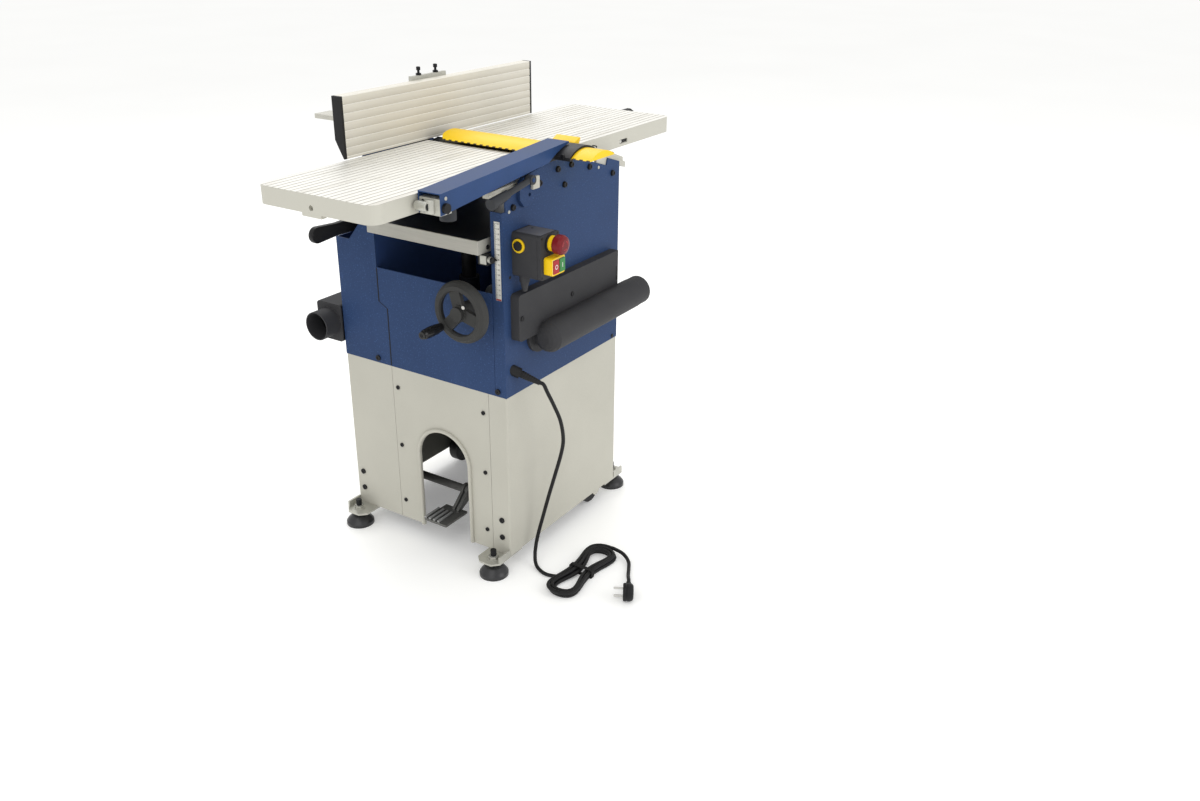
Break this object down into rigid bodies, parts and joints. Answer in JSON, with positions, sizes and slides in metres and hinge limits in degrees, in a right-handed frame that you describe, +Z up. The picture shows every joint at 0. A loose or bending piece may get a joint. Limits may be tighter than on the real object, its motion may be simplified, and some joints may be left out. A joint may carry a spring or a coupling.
{
  "type": "combination planer thicknesser",
  "caption": "Planer thicknesser with long aluminium tables, fence and bridge guard over a blue body, on a grey sheet-metal stand",
  "frame": {"origin": "floor level at the middle of the stand's footprint", "axes": "X along the planing tables toward the infeed end, -Y the operator's side, Z up from the floor"},
  "size_m": [1.04, 0.943, 0.979],
  "materials": {
    "painted": "fine textured light grey powder coat",
    "blue": "textured dark blue powder coat",
    "zinc": "zinc plated",
    "rubber": "moulded",
    "dark_steel": "blackened",
    "steel": "machined",
    "pan": "grey paint",
    "casting": "machined die casting",
    "extrusion": "anodised",
    "scale": "printed strip",
    "grey_plastic": "spark textured",
    "yellow_plastic": "smooth",
    "black_plastic": "moulded",
    "red_plastic": "smooth",
    "green_plastic": "smooth",
    "motor_grey": "painted",
    "belt": "ribbed belt",
    "cord": "sheathed cable"
  },
  "bodies": {
    "frame": {"stand_operator_panel": "painted", "stand_rear_panel": "painted", "stand_arch_panel": "painted", "stand_end_panel": "painted", "foot_brackets": "zinc", "foot_pads": "rubber", "frame_bolts": "dark_steel", "operator_side_plate": "blue", "inner_side_plate": "blue", "drive_cover": "blue", "front_panel": "blue", "end_panel": "blue", "base_pan": "pan", "table_slides": "casting", "thickness_scale": "scale", "control_box": "grey_plastic", "switch_surrounds": "yellow_plastic", "duct_cover_operator": "grey_plastic", "duct_cover_rear": "grey_plastic", "outfeed_table": "casting", "clamp_bracket": "blue", "fence_rail": "blue", "motor_housing": "motor_grey", "drive_belt": "belt", "cord_relief": "black_plastic", "mains_cord": "cord", "cord_hank": "cord", "mains_plug": "black_plastic"},
    "handwheel": {"handwheel": "black_plastic", "wheel_shaft": "steel"},
    "crank_handle": {"crank_handle": "black_plastic"},
    "lift_gear": {"lift_gear": "steel"},
    "thicknesser": {"thicknesser_table": "casting", "lift_columns": "steel", "lead_screw": "steel", "depth_pointer": "black_plastic"},
    "cutterhead": {"cutterhead": "steel"},
    "motor_shaft": {"motor_rotor": "steel"},
    "infeed_roller": {"infeed_roller": "steel"},
    "outfeed_roller": {"outfeed_roller": "steel"},
    "kickback": {"kickback_fingers": "steel"},
    "infeed": {"infeed_table": "casting"},
    "depth_knob": {"depth_knob": "black_plastic"},
    "fence_slide": {"fence_carriage": "extrusion"},
    "fence": {"fence": "extrusion", "fence_end_caps": "black_plastic", "fence_bracket": "zinc"},
    "guard_arm": {"guard_arm": "blue", "guard_holder": "black_plastic", "guard_pivot_block": "zinc"},
    "bridge": {"bridge_guard": "yellow_plastic"},
    "guard_knob": {"guard_knob": "black_plastic"},
    "clamp_lever": {"clamp_lever": "black_plastic"},
    "feed_lever": {"feed_lever": "black_plastic"},
    "estop": {"estop_button": "red_plastic"},
    "start": {"start_button": "green_plastic"},
    "stop": {"stop_button": "red_plastic"},
    "reset": {"reset_button": "black_plastic"},
    "pedal": {"foot_pedal": "dark_steel"},
    "transport": {"transport_wheels": "black_plastic"}
  },
  "joints": [
    {"name": "handwheel_turn", "type": "hinge", "parent": "frame", "child": "handwheel", "pos_m": [-0.265, -0.148, 0.58789], "axis": [1, 0, 0], "range_deg": [-7200, 4860]},
    {"name": "crank_handle_spin", "type": "hinge", "parent": "handwheel", "child": "crank_handle", "pos_m": [-0.29, -0.1073, 0.55375], "axis": [1, 0, 0], "continuous": true},
    {"name": "lift_gear_turn", "type": "hinge", "parent": "frame", "child": "lift_gear", "pos_m": [-0.12, -0.148, 0.5679], "axis": [0, 0, 1], "range_deg": [-4860, 7200]},
    {"name": "thicknesser_lift", "type": "slide", "parent": "frame", "child": "thicknesser", "axis": [0, 0, 1], "range_m": [-0.08, 0.054]},
    {"name": "cutterhead_spin", "type": "hinge", "parent": "frame", "child": "cutterhead", "pos_m": [0, 0, 0.8205], "axis": [0, 1, 0], "continuous": true},
    {"name": "motor_shaft_spin", "type": "hinge", "parent": "frame", "child": "motor_shaft", "pos_m": [0.06, 0.1, 0.327], "axis": [0, 1, 0], "continuous": true},
    {"name": "infeed_roller_spin", "type": "hinge", "parent": "frame", "child": "infeed_roller", "pos_m": [-0.075, 0, 0.8017], "axis": [0, 1, 0], "continuous": true},
    {"name": "outfeed_roller_spin", "type": "hinge", "parent": "frame", "child": "outfeed_roller", "pos_m": [0.075, 0, 0.8017], "axis": [0, 1, 0], "continuous": true},
    {"name": "kickback_swing", "type": "hinge", "parent": "frame", "child": "kickback", "pos_m": [-0.115, 0, 0.8037], "axis": [0, 1, 0], "range_deg": [-35, 0]},
    {"name": "infeed_table_slide", "type": "slide", "parent": "frame", "child": "infeed", "axis": [0.9397, 0, -0.342], "range_m": [0, 0.0088]},
    {"name": "depth_knob_turn", "type": "hinge", "parent": "infeed", "child": "depth_knob", "pos_m": [0.52, -0.04, 0.831], "axis": [1, 0, 0], "range_deg": [0, 2520]},
    {"name": "fence_slide", "type": "slide", "parent": "frame", "child": "fence_slide", "axis": [0, 1, 0], "range_m": [-0.16, 0]},
    {"name": "fence_tilt", "type": "hinge", "parent": "fence_slide", "child": "fence", "pos_m": [0.026, 0.1153, 0.863], "axis": [-1, 0, 0], "range_deg": [0, 45]},
    {"name": "bridge_slide", "type": "slide", "parent": "guard_arm", "child": "bridge", "axis": [0, 1, 0], "range_m": [-0.16, 0]},
    {"name": "guard_arm_lift", "type": "hinge", "parent": "frame", "child": "guard_arm", "pos_m": [-0.382, -0.205, 0.832], "axis": [0, -1, 0], "range_deg": [0, 10]},
    {"name": "guard_knob_turn", "type": "hinge", "parent": "guard_arm", "child": "guard_knob", "pos_m": [-0.345, -0.205, 0.815], "axis": [0, 0, 1], "range_deg": [0, 360]},
    {"name": "clamp_lever_swing", "type": "hinge", "parent": "frame", "child": "clamp_lever", "pos_m": [-0.138, -0.234, 0.834], "axis": [0, -1, 0], "range_deg": [0, 45]},
    {"name": "feed_lever_swing", "type": "hinge", "parent": "frame", "child": "feed_lever", "pos_m": [-0.15, 0.193, 0.692], "axis": [0, 1, 0], "range_deg": [0, 35]},
    {"name": "estop_press", "type": "slide", "parent": "frame", "child": "estop", "axis": [0, 1, 0], "range_m": [0, 0.005], "stiffness_N_per_m": 800},
    {"name": "start_press", "type": "slide", "parent": "frame", "child": "start", "axis": [0, 1, 0], "range_m": [0, 0.003], "stiffness_N_per_m": 500},
    {"name": "stop_press", "type": "slide", "parent": "frame", "child": "stop", "axis": [0, 1, 0], "range_m": [0, 0.003], "stiffness_N_per_m": 500},
    {"name": "reset_press", "type": "slide", "parent": "frame", "child": "reset", "axis": [1, 0, 0], "range_m": [0, 0.002], "stiffness_N_per_m": 500},
    {"name": "foot_pedal_press", "type": "hinge", "parent": "frame", "child": "pedal", "pos_m": [-0.12, 0, 0.1], "axis": [0, -1, 0], "range_deg": [0, 18], "stiffness_Nm_per_rad": 8, "springref_deg": -28.65},
    {"name": "transport_wheels_roll", "type": "hinge", "parent": "frame", "child": "transport", "pos_m": [0.131, 0, 0.041], "axis": [0, 1, 0], "continuous": true}
  ],
  "couplings": [
    {"joint": "handwheel_turn", "follows": "thicknesser_lift", "rad_per_m": 1570.8},
    {"joint": "lift_gear_turn", "follows": "thicknesser_lift", "rad_per_m": -1570.8},
    {"joint": "motor_shaft_spin", "follows": "cutterhead_spin", "ratio": 0.73529},
    {"joint": "outfeed_roller_spin", "follows": "infeed_roller_spin", "ratio": 1},
    {"joint": "depth_knob_turn", "follows": "infeed_table_slide", "rad_per_m": 4998},
    {"joint": "bridge_slide", "follows": "fence_slide", "ratio": 1}
  ]
}
